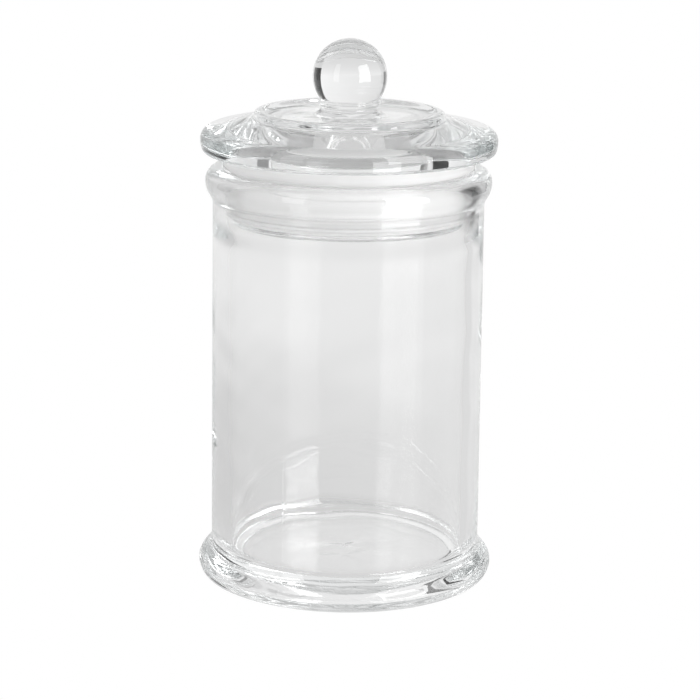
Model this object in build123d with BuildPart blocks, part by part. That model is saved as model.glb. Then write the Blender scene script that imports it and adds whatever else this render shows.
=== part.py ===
"""Glass apothecary jar with a ball-knob lid, as four separate pieces.

Frame: millimetres, +Z up, origin at the centre of the foot, on the surface that
the jar stands on. Every piece is round about the Z axis, so each one is a half
section in the XZ plane, given as (radius, height), turned once about Z.
"""
import os

from build123d import *

os.makedirs("parts", exist_ok=True)

# ---- driving dimensions ----

LID_DIAMETER = 95.0
RIM_HEIGHT = 134.2          # top of the jar's mouth
FLOOR_HEIGHT = 8.0          # inside floor, on a thick pressed base
WALL_RADIUS_LOW = 43.9      # outside of the wall, just above the foot
WALL_RADIUS_HIGH = 43.5     # outside of the wall, just under the bead
BORE_RADIUS = 39.0          # straight mouth that the seal's fins touch
BALL_RADIUS = 11.9
CLEARANCE = 0.1             # between pieces that move on each other
CRISP = 0.0                 # rounding of a corner that stays sharp

# ---- jar body ----

PUSH_UP = 1.6               # recess under the base
GROUND_OFF = 0.05           # ground off the foot, so that the jar stands flat
RECESS_RADIUS = 36.5
CONTACT_RADIUS = 39.8       # inner edge of the ring that the jar stands on
BASE_RADIUS = 46.9
BASE_ROUND = 1.5
FOOT_RADIUS = 48.6          # corner that rounds down to 48.3
FOOT_WIDEST = 4.0
FOOT_ROUND = 3.0
FOOT_SHOULDER = 7.0
SHOULDER_ROUND = 2.0
FOOT_ROOT = 9.4             # where the foot's slope runs into the wall
ROOT_ROUND = 4.5
BEAD_RADIUS = 45.9          # rolled bead around the mouth
BEAD_LOW = RIM_HEIGHT - 7.0
BEAD_LOW_ROUND = 7.5
BEAD_TOP_ROUND = 4.0
BEAD_ROOT = BEAD_LOW - 3.0  # foot of the slope under the bead
BEAD_ROOT_ROUND = 2.5
LIP_ROUND = 1.0
MOUTH_LOW = RIM_HEIGHT - 17.2       # bottom of the straight mouth
THROAT_HEIGHT = MOUTH_LOW - 5.0     # from here the inside tapers to the floor
THROAT_RADIUS = 38.4
THROAT_ROUND = 6.0
INSIDE_RADIUS = 37.8        # inside of the wall, at the floor
FLOOR_ROUND = 4.4

# ---- lid ----

LID_SEAT = RIM_HEIGHT + 5.0         # brim's underside, above the seal's collar
BRIM_RADIUS = LID_DIAMETER / 2 + 0.09   # corner that rounds down to the radius
BRIM_EDGE_RADIUS = BRIM_RADIUS - 0.8
BRIM_EDGE_ROUND = 0.9
BRIM_WIDEST = LID_SEAT + 3.4
BRIM_SIDE_ROUND = 6.0
BRIM_TOP = LID_SEAT + 7.1
BRIM_TOP_RADIUS = BRIM_RADIUS - 0.5
BRIM_TOP_ROUND = 3.6
CROWN_TOP = LID_SEAT + 13.1
CROWN_RADIUS = 30.1
CROWN_EDGE_ROUND = 1.1
CROWN_ROOT = LID_SEAT + 10.4        # where the brim's slope meets the crown
CROWN_ROOT_RADIUS = CROWN_RADIUS + 0.9
CROWN_ROOT_ROUND = 1.4
DISH_HEIGHT = LID_SEAT + 11.7       # shallow dish around the knob
DISH_EDGE_RADIUS = CROWN_RADIUS - 2.3
DISH_EDGE_ROUND = 1.4
DISH_RADIUS = CROWN_RADIUS - 5.3
DISH_ROUND = 2.5
CEILING_HEIGHT = LID_SEAT + 8.0     # hollow under the crown
CEILING_RADIUS = 24.2
CEILING_ROUND = 3.0
SKIRT_RADIUS = 36.5
SKIRT_INSIDE = 26.6                 # at its bottom, drawn in a little towards the ceiling
SKIRT_BOTTOM = 117.0
SKIRT_EDGE_ROUND = 0.9
SKIRT_LIP = 37.3                    # bead that keeps the seal on the skirt
SKIRT_LIP_TOP = SKIRT_BOTTOM + 1.7
SKIRT_LIP_SLOPE = 0.4
SKIRT_LIP_ROUND = 0.3

# ---- knob ----

BALL_HEIGHT = 163.2
FLARE_RADIUS = 10.8                 # foot of the neck, on the dish
FLARE_EDGE = 0.5
FLARE_TOP = DISH_HEIGHT + 2.1
FLARE_ROUND = 1.2
NECK_RADIUS = 8.8
COLLAR_RADIUS = 10.2                # small bead between the neck and the ball
COLLAR_BOTTOM = DISH_HEIGHT + 3.2
COLLAR_TOP = COLLAR_BOTTOM + 1.5
COLLAR_SLOPE = 0.2
COLLAR_ROUND = 0.4
FINE_ROUND = 0.3
COLLAR_TOP_RADIUS = (BALL_RADIUS**2 - (BALL_HEIGHT - COLLAR_TOP) ** 2) ** 0.5

# ---- seal ring ----

SEAL_INSIDE = SKIRT_RADIUS + CLEARANCE
SEAL_SLEEVE = SEAL_INSIDE + 1.0
SEAL_COLLAR = 40.3
SEAL_BOTTOM = SKIRT_LIP_TOP + 0.3
SEAL_TOP = LID_SEAT - CLEARANCE
SEAL_COLLAR_BOTTOM = RIM_HEIGHT + CLEARANCE
SEAL_EDGE_ROUND = 0.2
SEAL_SLEEVE_ROUND = 0.4
SEAL_COLLAR_ROUND = 0.8
FIN_COUNT = 3
FIN_PITCH = 4.6
FIN_FIRST = SEAL_BOTTOM + 1.9
FIN_THICKNESS = 1.3
FIN_INSIDE = SEAL_INSIDE + 0.3      # the fin's root, buried in the sleeve
FIN_RADIUS = BORE_RADIUS - CLEARANCE


def rounded_outline(*corners):
    """Draw a closed outline through corners of (radius, height, rounding)."""
    points = [(radius, height) for radius, height, rounding in corners]
    roundings = [rounding for radius, height, rounding in corners]
    FilletPolyline(*points, radius=roundings, close=True)


# Jar body: one pressed glass piece with a flanged foot, a thick base, a nearly
# straight wall and a rolled bead around the mouth.
with BuildPart() as jar_body:
    with BuildSketch(Plane.XZ):
        with BuildLine():
            rounded_outline(
                (0.0, PUSH_UP, CRISP),
                (RECESS_RADIUS, PUSH_UP, BASE_ROUND),
                (CONTACT_RADIUS, -GROUND_OFF, BASE_ROUND),
                (BASE_RADIUS, -GROUND_OFF, BASE_ROUND),
                (FOOT_RADIUS, FOOT_WIDEST, FOOT_ROUND),
                (BASE_RADIUS, FOOT_SHOULDER, SHOULDER_ROUND),
                (WALL_RADIUS_LOW, FOOT_ROOT, ROOT_ROUND),
                (WALL_RADIUS_HIGH, BEAD_ROOT, BEAD_ROOT_ROUND),
                (BEAD_RADIUS, BEAD_LOW, BEAD_LOW_ROUND),
                (BEAD_RADIUS, RIM_HEIGHT, BEAD_TOP_ROUND),
                (BORE_RADIUS, RIM_HEIGHT, LIP_ROUND),
                (BORE_RADIUS, MOUTH_LOW, THROAT_ROUND),
                (THROAT_RADIUS, THROAT_HEIGHT, THROAT_ROUND),
                (INSIDE_RADIUS, FLOOR_HEIGHT, FLOOR_ROUND),
                (0.0, FLOOR_HEIGHT, CRISP),
            )
        make_face()
    revolve(axis=Axis.Z)
    split(bisect_by=Plane.XY, keep=Keep.TOP)

# Lid: one pressed glass piece. A thick round-edged brim rises to a raised crown
# with a rolled edge and a shallow dish, and a thick hollow skirt hangs into the mouth.
with BuildPart() as lid:
    with BuildSketch(Plane.XZ):
        with BuildLine():
            rounded_outline(
                (0.0, CEILING_HEIGHT, CRISP),
                (CEILING_RADIUS, CEILING_HEIGHT, CEILING_ROUND),
                (SKIRT_INSIDE, SKIRT_BOTTOM, SKIRT_EDGE_ROUND),
                (SKIRT_LIP, SKIRT_BOTTOM, SKIRT_EDGE_ROUND),
                (SKIRT_LIP, SKIRT_LIP_TOP - SKIRT_LIP_SLOPE, SKIRT_LIP_ROUND),
                (SKIRT_RADIUS, SKIRT_LIP_TOP, SKIRT_LIP_ROUND),
                (SKIRT_RADIUS, LID_SEAT, CRISP),
                (BRIM_EDGE_RADIUS, LID_SEAT, BRIM_EDGE_ROUND),
                (BRIM_RADIUS, BRIM_WIDEST, BRIM_SIDE_ROUND),
                (BRIM_TOP_RADIUS, BRIM_TOP, BRIM_TOP_ROUND),
                (CROWN_ROOT_RADIUS, CROWN_ROOT, CROWN_ROOT_ROUND),
                (CROWN_RADIUS, CROWN_TOP, CROWN_EDGE_ROUND),
                (DISH_EDGE_RADIUS, CROWN_TOP, DISH_EDGE_ROUND),
                (DISH_RADIUS, DISH_HEIGHT, DISH_ROUND),
                (0.0, DISH_HEIGHT, CRISP),
            )
        make_face()
    revolve(axis=Axis.Z)

# Knob: a solid glass ball on a short neck, fused to the middle of the crown.
with BuildPart() as knob:
    with BuildSketch(Plane.XZ):
        with BuildLine():
            FilletPolyline(
                (0.0, DISH_HEIGHT),
                (FLARE_RADIUS, DISH_HEIGHT),
                (FLARE_RADIUS, DISH_HEIGHT + FLARE_EDGE),
                (NECK_RADIUS, FLARE_TOP),
                (NECK_RADIUS, COLLAR_BOTTOM - COLLAR_SLOPE),
                (COLLAR_RADIUS, COLLAR_BOTTOM + COLLAR_SLOPE),
                (COLLAR_RADIUS, COLLAR_TOP - COLLAR_SLOPE),
                (COLLAR_TOP_RADIUS, COLLAR_TOP),
                radius=[CRISP, FINE_ROUND, FLARE_ROUND, FINE_ROUND, COLLAR_ROUND, COLLAR_ROUND],
            )
            ThreePointArc(
                (COLLAR_TOP_RADIUS, COLLAR_TOP),
                (BALL_RADIUS, BALL_HEIGHT),
                (0.0, BALL_HEIGHT + BALL_RADIUS),
            )
            Line((0.0, BALL_HEIGHT + BALL_RADIUS), (0.0, DISH_HEIGHT))
        make_face()
    revolve(axis=Axis.Z)

# Seal ring: soft translucent plastic around the lid's skirt. Its collar lies
# between the jar's rim and the lid, and its fins reach the mouth.
with BuildPart() as seal_ring:
    with BuildSketch(Plane.XZ):
        with BuildLine():
            rounded_outline(
                (SEAL_INSIDE, SEAL_BOTTOM, SEAL_EDGE_ROUND),
                (SEAL_SLEEVE, SEAL_BOTTOM, SEAL_EDGE_ROUND),
                (SEAL_SLEEVE, SEAL_COLLAR_BOTTOM, SEAL_SLEEVE_ROUND),
                (SEAL_COLLAR, SEAL_COLLAR_BOTTOM, SEAL_COLLAR_ROUND),
                (SEAL_COLLAR, SEAL_TOP, SEAL_COLLAR_ROUND),
                (SEAL_INSIDE, SEAL_TOP, SEAL_EDGE_ROUND),
            )
        make_face()
        for fin in range(FIN_COUNT):
            with Locations(((FIN_INSIDE + FIN_RADIUS) / 2, FIN_FIRST + fin * FIN_PITCH)):
                SlotOverall(FIN_RADIUS - FIN_INSIDE, FIN_THICKNESS)
    revolve(axis=Axis.Z)

jar_body.part.label = "jar_body"
lid.part.label = "lid"
knob.part.label = "knob"
seal_ring.part.label = "seal_ring"

export_step(jar_body.part, "parts/jar_body.step")
export_step(lid.part, "parts/lid.step")
export_step(knob.part, "parts/knob.step")
export_step(seal_ring.part, "parts/seal_ring.step")
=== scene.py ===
"""Looks of the glass apothecary jar: its glass, its seal, the studio and the camera.

Everything is in metres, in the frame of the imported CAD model. The glass and the seal are
turned again from the CAD pieces' own outlines, with the ripples, seams and uneven edges
that pressed glass has, and they stand for the CAD nodes.
"""
import math
import random

import bmesh
import bpy
import numpy as np
from mathutils import Matrix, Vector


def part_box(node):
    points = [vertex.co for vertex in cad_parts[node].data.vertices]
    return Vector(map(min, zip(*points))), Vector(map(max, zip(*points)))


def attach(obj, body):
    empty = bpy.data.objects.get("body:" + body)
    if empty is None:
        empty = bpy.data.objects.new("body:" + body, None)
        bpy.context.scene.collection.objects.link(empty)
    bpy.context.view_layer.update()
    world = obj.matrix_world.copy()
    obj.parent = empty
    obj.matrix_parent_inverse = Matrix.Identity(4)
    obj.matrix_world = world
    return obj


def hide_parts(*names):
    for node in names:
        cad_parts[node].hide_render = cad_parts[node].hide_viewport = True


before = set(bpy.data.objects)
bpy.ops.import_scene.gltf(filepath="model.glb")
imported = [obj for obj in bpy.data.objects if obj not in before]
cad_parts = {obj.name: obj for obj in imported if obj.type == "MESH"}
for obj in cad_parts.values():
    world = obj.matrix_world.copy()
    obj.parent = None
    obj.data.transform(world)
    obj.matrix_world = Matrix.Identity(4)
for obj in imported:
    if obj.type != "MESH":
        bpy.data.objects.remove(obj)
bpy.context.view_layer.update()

MM = 0.001
WELD = 1e-6                  # points of the CAD mesh closer than this are one point
SEED = 20

# ---- sizes taken from the frame ----

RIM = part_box("jar_body")[1].z
LID_LOW, LID_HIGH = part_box("lid")
BRIM_RADIUS = LID_HIGH.x
LID_UNDERSIDE = LID_LOW.z + 30.5 * MM   # everything under this is the lid's hidden side
BORE_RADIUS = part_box("seal_ring")[1].x - 1.3 * MM   # straight mouth, under the seal's collar
BORE_LOW = RIM - 17 * MM

# ---- glass ----

WALL_STEP = 0.8 * MM         # spacing of the turned outlines' points
LID_STEP = 0.6 * MM
SEAL_STEP = 0.3 * MM
GLASS_TURNS = 192            # points round a turned piece
SEAL_TURNS = 160
WALL_WAVE = 0.22 * MM        # pressed glass is uneven on its inside
WALL_FINE_WAVE = 0.06 * MM
FLOOR_WAVE = 0.25 * MM
FOOT_WAVE = 0.12 * MM
LID_WAVE = 0.2 * MM
SEAM_ANGLE = -116            # degrees from +X
SEAM_WIDTH = 0.5 * MM
SEAM_HEIGHT = 0.04 * MM
GLASS_IOR = 1.51
JAR_ABSORB = (0.85, 0.862, 0.862)
JAR_DENSITY = 8.0
JAR_BUMP = 0.012
BORE_ROUGHNESS = 0.24
LID_ABSORB = (0.8625, 0.875, 0.875)
LID_DENSITY = 12.0
LID_BUMP = 0.04

# ---- studio light: 1 is the white that the camera sees ----

SHADOW_PLACE = (-0.12, 0.10, 0)     # middle of the jar's soft shadow on the table
SHADOW_CORE = 0.03
SHADOW_REACH = 0.27
TABLE_DIM = 0.58
TABLE_LIGHT = 0.72
TABLE_GAIN = 2.3
WORLD_SEEN = 1.0
WORLD_LIGHT = 0.62
WORLD_GAIN = 1.8
BOUNCES = 96                 # thick glass needs many, or it gets black spots

# ---- camera ----

CAMERA_PLACE = (1.04 * MM, -789 * MM, 269.2 * MM)
CAMERA_DOWN = 13.91          # degrees
CAMERA_ROLL = 0.70
FOCAL_PIXELS = 2500
FRAME_PIXELS = 700
SENSOR = 36


# ---- outlines ----

def section(node):
    """A CAD node's outline in the half plane y = 0, x >= 0: (radius, height) points in order.

    An outline that is open at the axis starts at its lower end, and gets its points on the axis.
    """
    mesh = bmesh.new()
    mesh.from_mesh(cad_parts[node].data)
    bmesh.ops.remove_doubles(mesh, verts=mesh.verts, dist=WELD)
    on_plane = {v for v in mesh.verts if abs(v.co.y) < WELD and v.co.x > -WELD}
    beside = {v: [e.other_vert(v) for e in v.link_edges if e.other_vert(v) in on_plane]
              for v in on_plane}
    ends = [v for v in on_plane if len(beside[v]) == 1]
    walk = [min(ends or on_plane, key=lambda v: (v.co.z, v.co.x))]
    while True:
        ahead = [v for v in beside[walk[-1]] if v not in walk]
        if not ahead:
            break
        walk.append(ahead[0])
    points = [(v.co.x, v.co.z) for v in walk]
    mesh.free()
    if ends and points[0][0] > WELD:
        points.insert(0, (0.0, points[0][1]))
    if ends and points[-1][0] > WELD:
        points.append((0.0, points[-1][1]))
    return np.array(points)


def resampled(points, step, closed):
    """The outline with points at an even spacing of about step."""
    if closed:
        points = np.vstack([points, points[:1]])
    along = np.concatenate([[0], np.cumsum(np.linalg.norm(np.diff(points, axis=0), axis=1))])
    count = max(8, round(along[-1] / step))
    places = np.linspace(0, along[-1], count + 1)
    even = np.column_stack([np.interp(places, along, points[:, axis]) for axis in (0, 1)])
    return even[:-1] if closed else even


def softened(points, rounds, closed):
    """The outline with its corners eased, and its ends kept where they are."""
    for _ in range(rounds):
        before, after = np.roll(points, 1, axis=0), np.roll(points, -1, axis=0)
        eased = points * 0.5 + (before + after) * 0.25
        if not closed:
            eased[0] = points[0]
            eased[-1] = points[-1]
        points = eased
    return points


# ---- turned meshes ----

def turned(name, outline, segments, closed, shape):
    """A mesh turned about Z. shape(radius, angle, height, place) moves its points."""
    count = len(outline)
    angles = np.arange(segments) * (2 * math.pi / segments)
    radius = np.repeat(outline[:, 0], segments)
    height = np.repeat(outline[:, 1], segments)
    angle = np.tile(angles, count)
    place = np.repeat(np.arange(count), segments)
    radius, height = shape(radius, angle, height, place)
    points = np.column_stack([radius * np.cos(angle), radius * np.sin(angle), height])
    rows = range(count) if closed else range(1, count - 1)
    mesh = bmesh.new()
    rings = {}
    for row in rows:
        first = row * segments
        rings[row] = [mesh.verts.new(points[first + turn]) for turn in range(segments)]
    pairs = list(zip(rows, list(rows)[1:]))
    if closed:
        pairs.append((count - 1, 0))
    for low, high in pairs:
        for turn in range(segments):
            after = (turn + 1) % segments
            quad = (rings[low][turn], rings[low][after], rings[high][after], rings[high][turn])
            mesh.faces.new(quad)
    if not closed:
        for row, ring in ((0, 1), (count - 1, count - 2)):
            first = row * segments
            tip = mesh.verts.new((0, 0, points[first:first + segments, 2].mean()))
            for turn in range(segments):
                after = (turn + 1) % segments
                corners = (tip, rings[ring][after], rings[ring][turn])
                mesh.faces.new(corners if row == 0 else corners[::-1])
    bmesh.ops.recalc_face_normals(mesh, faces=mesh.faces)
    data = bpy.data.meshes.new(name)
    mesh.to_mesh(data)
    mesh.free()
    data.polygons.foreach_set("use_smooth", [True] * len(data.polygons))
    piece = bpy.data.objects.new(name, data)
    bpy.context.scene.collection.objects.link(piece)
    return piece


def ripples(seed, count, turns, spacing):
    """A smooth random pattern of angle and height, from -1 to 1."""
    draw = random.Random(seed)
    waves = []
    for _ in range(count):
        waves.append((draw.randint(*turns), 2 * math.pi / draw.uniform(*spacing),
                      draw.uniform(0, 2 * math.pi), draw.choice((-1, 1))))

    def pattern(angle, height):
        total = 0
        for turn, pitch, phase, way in waves:
            total = total + np.cos(turn * angle + way * pitch * height + phase)
        return total / count

    return pattern


def band(value, low, high, ease):
    """1 between low and high, easing to 0 over the distance ease outside them."""
    rise = np.clip((value - low + ease) / ease, 0, 1)
    fall = np.clip((high + ease - value) / ease, 0, 1)
    both = rise * fall
    return both * both * (3 - 2 * both)


def jar_glass():
    outline = softened(resampled(section("jar_body"), WALL_STEP, False), 2, False)
    rim_place = int(np.argmax(outline[:, 1]))
    wall_ripple = ripples(SEED, 7, (1, 5), (30 * MM, 90 * MM))
    fine_ripple = ripples(SEED + 1, 7, (3, 9), (12 * MM, 30 * MM))
    foot_ripple = ripples(SEED + 2, 4, (1, 3), (60 * MM, 90 * MM))

    def shape(radius, angle, height, place):
        inside = place > rim_place
        depth = band(height, 14 * MM, RIM - 26 * MM, 9 * MM)
        wave = (WALL_WAVE * wall_ripple(angle, height)
                + WALL_FINE_WAVE * fine_ripple(angle, height))
        wall = np.where(inside, depth * wave, 0)
        floor_wave = FLOOR_WAVE * wall_ripple(angle, radius)
        floor = np.where(inside & (height < 12 * MM), floor_wave, 0)
        foot = np.where(~inside, band(height, 2 * MM, 8 * MM, 3 * MM), 0)
        uneven = foot_ripple(angle, height)
        foot = foot * FOOT_WAVE * (uneven - uneven.max())
        return radius + wall + foot, height + floor

    piece = turned("jar_glass", outline, GLASS_TURNS, False, shape)
    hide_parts("jar_body")
    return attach(piece, "jar")


def lid_glass():
    """The lid with its knob, which is fused on, as one piece of glass."""
    both = np.vstack([section("lid")[:-1], section("knob")[1:]])
    outline = softened(resampled(both, LID_STEP, False), 2, False)
    wide_ripple = ripples(SEED + 5, 5, (2, 6), (30 * MM, 60 * MM))

    def shape(radius, angle, height, place):
        under = band(radius, 4 * MM, 30 * MM, 5 * MM) * (height < LID_UNDERSIDE)
        lift = LID_WAVE * under * wide_ripple(angle, radius)
        return radius, height + lift

    piece = turned("lid_glass", outline, GLASS_TURNS, False, shape)
    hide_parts("lid", "knob")
    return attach(piece, "lid")


def seal_band():
    outline = softened(resampled(section("seal_ring"), SEAL_STEP, True), 1, True)

    def shape(radius, angle, height, place):
        return radius, height

    piece = turned("seal_band", outline, SEAL_TURNS, True, shape)
    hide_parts("seal_ring")
    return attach(piece, "seal")


# ---- materials ----

class Graph:
    """Adds shader nodes to a tree and links them."""

    def __init__(self, tree):
        self.nodes, self.links = tree.nodes, tree.links

    def add(self, kind, inputs=None, **settings):
        """A new node. Each of its inputs is given as a socket to link or as a plain value."""
        node = self.nodes.new("ShaderNode" + kind)
        for name, value in settings.items():
            setattr(node, name, value)
        for key, value in (inputs or {}).items():
            if isinstance(value, bpy.types.NodeSocket):
                self.links.new(value, node.inputs[key])
            else:
                node.inputs[key].default_value = value
        return node

    def math(self, operation, *values):
        return self.add("Math", dict(enumerate(values)), operation=operation).outputs["Value"]

    def mapped(self, value, start, end, low, high, **settings):
        """value taken from start..end to low..high, and held there beyond the ends."""
        inputs = {"Value": value, "From Min": start, "From Max": end,
                  "To Min": low, "To Max": high}
        return self.add("MapRange", inputs, **settings).outputs["Result"]

    def place(self):
        """The point's place in its own object."""
        return self.add("TexCoord").outputs["Object"]

    def scaled(self, vector, factors):
        inputs = {0: vector, 1: factors}
        return self.add("VectorMath", inputs, operation="MULTIPLY").outputs["Vector"]

    def part(self, vector, axis):
        return self.add("SeparateXYZ", {"Vector": vector}).outputs[axis]

    def path(self, output):
        return self.add("LightPath").outputs[output]


def new_material(name):
    """An empty material, its graph and its output node."""
    material = bpy.data.materials.new(name)
    material.use_nodes = True
    material.node_tree.nodes.clear()
    graph = Graph(material.node_tree)
    return material, graph, graph.add("OutputMaterial")


def noise_value(graph, scale, detail, low, high):
    """A noise texture in the object's own place, mapped to low..high."""
    inputs = {"Vector": graph.place(), "Scale": scale, "Detail": detail}
    texture = graph.add("TexNoise", inputs)
    return graph.mapped(texture.outputs["Fac"], 0.3, 0.7, low, high)


def streak_value(graph, low, high):
    """Uneven level streaks, mapped to low..high."""
    stretched = graph.scaled(graph.place(), (12, 12, 700))
    texture = graph.add("TexNoise", {"Vector": stretched, "Scale": 1.0, "Detail": 3})
    return graph.mapped(texture.outputs["Fac"], 0.35, 0.65, low, high)


def height_mask(graph, low, high, ease):
    """1 at heights above low and below high, easing to 0 over the distance ease."""
    height = graph.part(graph.place(), "Z")
    above = graph.mapped(height, low - ease, low, 0, 1)
    below = graph.mapped(height, high + ease, high, 0, 1)
    return graph.math("MULTIPLY", above, below)


def axis_mask(graph, zero, one):
    """0 at the distance zero from the jar's axis, rising to 1 at the distance one."""
    level = graph.scaled(graph.place(), (1, 1, 0))
    away = graph.add("VectorMath", {0: level}, operation="LENGTH").outputs["Value"]
    return graph.mapped(away, zero, one, 0, 1)


def bore_mask(graph):
    """1 on the straight mouth inside the bead, where the glass is ground, and 0 elsewhere."""
    height = height_mask(graph, BORE_LOW, RIM - 1.5 * MM, 0.8 * MM)
    near = axis_mask(graph, BORE_RADIUS + 1.4 * MM, BORE_RADIUS + 0.7 * MM)
    return graph.math("MULTIPLY", height, near)


def seam_mask(graph):
    """1 along the two upright lines on the outside where the mould's halves met."""
    place = graph.place()
    angle = graph.math("ARCTAN2", graph.part(place, "Y"), graph.part(place, "X"))
    from_seam = graph.math("SUBTRACT", angle, math.radians(SEAM_ANGLE))
    from_either = graph.math("WRAP", from_seam, math.pi / 2, -math.pi / 2)
    line = graph.mapped(graph.math("ABSOLUTE", from_either), SEAM_WIDTH / BRIM_RADIUS, 0, 0, 1,
                        interpolation_type="SMOOTHSTEP")
    outside = axis_mask(graph, BORE_RADIUS + 1.5 * MM, BORE_RADIUS + 3 * MM)
    return graph.math("MULTIPLY", line, outside)


def clear_glass(name, absorb, density, uneven):
    """Pressed glass with unevenly polished surfaces: its material, graph, shader and bump."""
    material, graph, output = new_material(name)
    ripple = {"Strength": uneven, "Distance": 0.4 * MM,
              "Height": noise_value(graph, 110, 2, 0, 1)}
    bump = graph.add("Bump", ripple)
    shader = graph.add("BsdfPrincipled", {
        "Base Color": (1, 1, 1, 1),
        "Transmission Weight": 1.0,
        "IOR": GLASS_IOR,
        "Roughness": noise_value(graph, 60, 3, 0, 0.006),
        "Normal": bump.outputs["Normal"],
    })
    graph.links.new(shader.outputs["BSDF"], output.inputs["Surface"])
    volume = graph.add("VolumeAbsorption", {"Color": (*absorb, 1), "Density": density})
    graph.links.new(volume.outputs["Volume"], output.inputs["Volume"])
    return material, graph, shader, bump


def jar_look():
    """Clear glass that is ground inside the mouth and has two mould seams."""
    material, graph, shader, bump = clear_glass("jar_glass_look", JAR_ABSORB, JAR_DENSITY,
                                                JAR_BUMP)
    polish = shader.inputs["Roughness"].links[0].from_socket
    ground = streak_value(graph, BORE_ROUGHNESS * 0.35, BORE_ROUGHNESS)
    rough = graph.add("Mix", {"Factor": bore_mask(graph), "A": polish, "B": ground})
    graph.links.new(rough.outputs["Result"], shader.inputs["Roughness"])
    seam = graph.add("Bump", {"Strength": 0.6, "Distance": SEAM_HEIGHT,
                              "Height": seam_mask(graph)})
    graph.links.new(seam.outputs["Normal"], bump.inputs["Normal"])
    return material


def lid_look():
    return clear_glass("lid_glass_look", LID_ABSORB, LID_DENSITY, LID_BUMP)[0]


def seal_look():
    """Milky soft plastic with level streaks."""
    material, graph, output = new_material("seal_plastic")
    milky = streak_value(graph, 0.93, 1)
    shade = graph.add("CombineColor", {"Red": milky, "Green": milky, "Blue": milky})
    bump = graph.add("Bump", {"Strength": 0.2, "Distance": 0.1 * MM,
                              "Height": streak_value(graph, 0, 1)})
    shader = graph.add("BsdfPrincipled", {
        "Base Color": shade.outputs["Color"],
        "Transmission Weight": 0.42,
        "IOR": 1.2,
        "Roughness": noise_value(graph, 300, 3, 0.08, 0.16),
        "Normal": bump.outputs["Normal"],
    })
    graph.links.new(shader.outputs["BSDF"], output.inputs["Surface"])
    return material


# ---- light ----

def light_material(name, strength):
    """Plain light. strength is a function that gives a graph's socket."""
    material, graph, output = new_material(name)
    emit = graph.add("Emission", {"Strength": strength(graph)})
    graph.links.new(emit.outputs["Emission"], output.inputs["Surface"])
    return material


def path_strength(graph, straight, scattered, kinds, reach=0.0):
    """straight for plain light, and scattered once the path has a bounce of one of two kinds.

    After a first bounce the last stretch of the path has to be longer than reach.
    """
    turns = graph.math("ADD", *(graph.path(kind) for kind in kinds))
    far = graph.math("GREATER_THAN", graph.path("Ray Length"), reach)
    more = graph.math("SUBTRACT", turns, 1)
    counted = graph.math("MULTIPLY_ADD", turns, far, more)
    return graph.mapped(counted, 0, 1, straight, scattered)


def spread_light(graph, strength, gain):
    """strength, multiplied by gain for light that a diffuse surface under glass has spread."""
    under = graph.math("GREATER_THAN", graph.path("Transmission Depth"), 1.5)
    spread = graph.math("MULTIPLY", graph.path("Diffuse Depth"), under)
    return graph.math("MULTIPLY", strength, graph.mapped(spread, 0, 1, 1, gain))


def lamp(straight, scattered, reach, gain):
    """Bright to the jar, which is farther away than reach, and plain to the table beside it."""
    def strength(graph):
        kinds = ("Glossy Depth", "Diffuse Depth")
        return spread_light(graph, path_strength(graph, straight, scattered, kinds, reach), gain)
    return strength


def steady(level):
    """The same light on every path.

    It comes from a node, because a strength that is typed in changes how Cycles samples the
    panel, and so shifts the seal's shade a little.
    """
    def strength(graph):
        return graph.mapped(graph.path("Is Camera Ray"), 0, 1, level, level)
    return strength


def sloped(left, right, reach):
    """Light that changes evenly from x = -reach to x = reach."""
    def strength(graph):
        return graph.mapped(graph.part(graph.place(), "X"), -reach, reach, left, right)
    return strength


def polished_table():
    """Pale polished board: plain light, dimmer in the jar's soft shadow, with a weak reflection."""
    material, graph, output = new_material("table_grey")
    away = graph.add("VectorMath", {0: graph.place(), 1: SHADOW_PLACE}, operation="DISTANCE")
    strength = graph.mapped(away.outputs["Value"], SHADOW_CORE, SHADOW_REACH, TABLE_DIM,
                            TABLE_LIGHT, interpolation_type="SMOOTHSTEP")
    shader = graph.add("BsdfPrincipled", {
        "Base Color": (0, 0, 0, 1),
        "Roughness": 0.25,
        "Specular IOR Level": 0.05,
        "Emission Color": (1, 1, 1, 1),
        "Emission Strength": spread_light(graph, strength, TABLE_GAIN),
    })
    graph.links.new(shader.outputs["BSDF"], output.inputs["Surface"])
    return material


# Curved panels round the jar: azimuths in degrees, 0 behind the jar and 90 on its right,
# heights, distance and strength.
PANELS = {
    "backdrop": ((-56, 62), (-0.02, 1.25), 1.25, sloped(0.78, 1.0, 1.0)),
    "right_flag": ((39, 69), (0, 0.55), 0.6, steady(0.01)),
    "left_flag": ((-74, -54), (0, 0.55), 0.9, steady(0.3)),
    "left_fill": ((-122, -74), (-0.1, 0.9), 1.2, steady(1.0)),
    "right_fill": ((70, 112), (-0.1, 0.9), 1.2, steady(0.85)),
    "softbox": ((115, 151), (-0.2, 0.75), 0.8, lamp(0.85, 6.0, 0.72, 0.8)),
    "left_strip": ((-146, -128), (-0.2, 0.9), 0.9, lamp(0.85, 2.3, 0.8, 1.0)),
}
PANEL_STEPS = 16


# ---- studio ----

def stage_piece(name, vertices, faces, material):
    data = bpy.data.meshes.new(name)
    data.from_pydata(vertices, [], faces)
    data.materials.append(material)
    piece = bpy.data.objects.new(name, data)
    bpy.context.scene.collection.objects.link(piece)
    return piece


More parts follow.
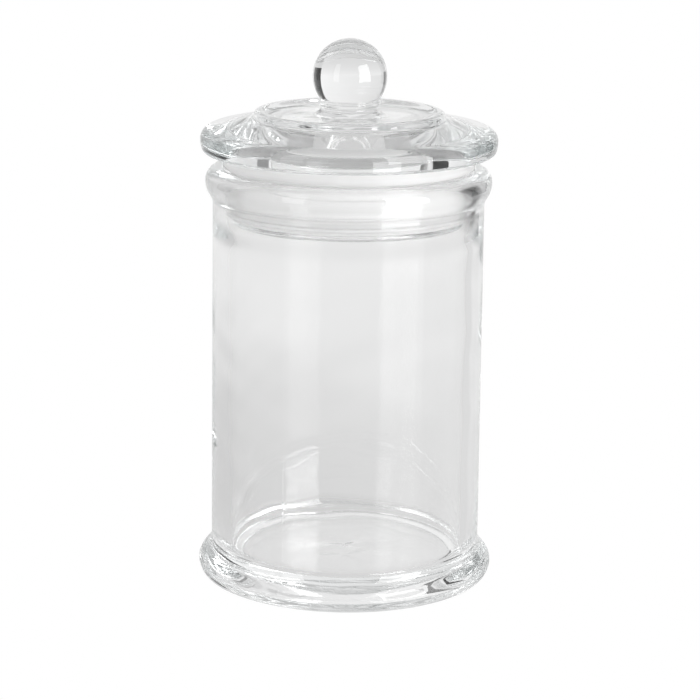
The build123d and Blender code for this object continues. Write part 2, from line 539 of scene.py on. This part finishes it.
def panel(name, azimuths, heights, distance, strength):
    """A curved studio panel that the camera doesn't see."""
    first, last = (math.radians(a) for a in azimuths)
    vertices = []
    for step in range(PANEL_STEPS + 1):
        angle = first + (last - first) * step / PANEL_STEPS
        for height in heights:
            vertices.append((distance * math.sin(angle), distance * math.cos(angle), height))
    faces = [(2 * s, 2 * s + 2, 2 * s + 3, 2 * s + 1) for s in range(PANEL_STEPS)]
    piece = stage_piece(name, vertices, faces, light_material(name, strength))
    piece.visible_camera = False
    piece.visible_shadow = False


def flat(name, low, high, height, material):
    corners = [(low[0], low[1], height), (high[0], low[1], height),
               (high[0], high[1], height), (low[0], high[1], height)]
    return stage_piece(name, corners, [(0, 1, 2, 3)], material)


def studio():
    """A white floor for the camera, and a table, panels and a surround for the glass."""
    white = light_material("floor_white", steady(1.0))
    floor = flat("floor", (-6, -6), (6, 6), -0.2 * MM, white)
    floor.visible_glossy = False
    floor.visible_transmission = False
    floor.visible_diffuse = False
    floor.visible_shadow = False
    table = flat("table", (-1.3, -0.6), (1.3, 1.3), -0.1 * MM, polished_table())
    table.visible_camera = False
    for name, sizes in PANELS.items():
        panel(name, *sizes)
    world = bpy.data.worlds.new("studio")
    world.use_nodes = True
    graph = Graph(world.node_tree)
    kinds = ("Is Camera Ray", "Diffuse Depth")
    strength = path_strength(graph, WORLD_LIGHT, WORLD_SEEN, kinds)
    background = graph.nodes["Background"]
    background.inputs["Color"].default_value = (1, 1, 1, 1)
    graph.links.new(spread_light(graph, strength, WORLD_GAIN), background.inputs["Strength"])
    bpy.context.scene.world = world


def camera():
    """The camera looks down on the jar from its front, a little rolled."""
    data = bpy.data.cameras.new("camera")
    data.sensor_width = SENSOR
    data.lens = SENSOR * FOCAL_PIXELS / FRAME_PIXELS
    piece = bpy.data.objects.new("camera", data)
    bpy.context.scene.collection.objects.link(piece)
    pitch = Matrix.Rotation(math.radians(90 - CAMERA_DOWN), 4, "X")
    roll = Matrix.Rotation(math.radians(CAMERA_ROLL), 4, "Z")
    piece.matrix_world = Matrix.Translation(CAMERA_PLACE) @ pitch @ roll
    bpy.context.scene.camera = piece


def main():
    jar_glass().data.materials.append(jar_look())
    lid_glass().data.materials.append(lid_look())
    seal_band().data.materials.append(seal_look())
    studio()
    camera()
    scene = bpy.context.scene
    scene.view_settings.view_transform = "Standard"
    scene.cycles.max_bounces = BOUNCES
    scene.cycles.transmission_bounces = BOUNCES
    scene.cycles.glossy_bounces = BOUNCES


main()
